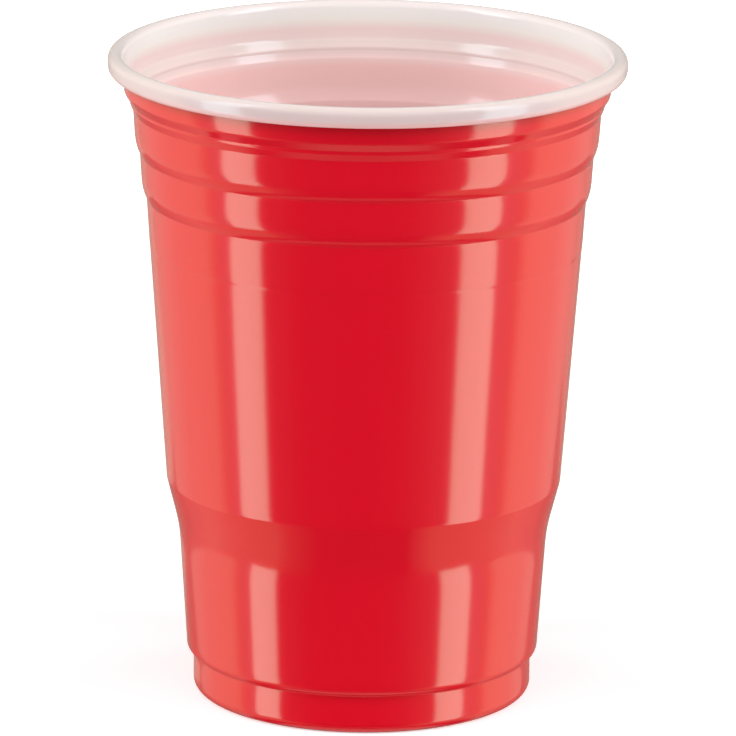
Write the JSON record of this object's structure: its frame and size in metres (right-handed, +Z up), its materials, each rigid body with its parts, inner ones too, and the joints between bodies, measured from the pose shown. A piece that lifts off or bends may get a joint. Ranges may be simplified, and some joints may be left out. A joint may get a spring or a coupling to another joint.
{
  "type": "party cup",
  "caption": "Tapered disposable drinking cup with a rolled lip, finger bands, a stepped-in waist and a hollow foot, red outside and white inside.",
  "frame": {"origin": "centre of the ring that the cup stands on, at the surface under the cup", "axes": "+Z up along the cup's axis, from the foot to the mouth; the cup is round, so X and Y are free"},
  "size_m": [0.095, 0.095, 0.1208],
  "materials": {
    "cup_plastic": "thermoformed two-colour plastic sheet, glossy red outside and white inside"
  },
  "bodies": {
    "root": {"cup": "cup_plastic"}
  },
  "joints": []
}
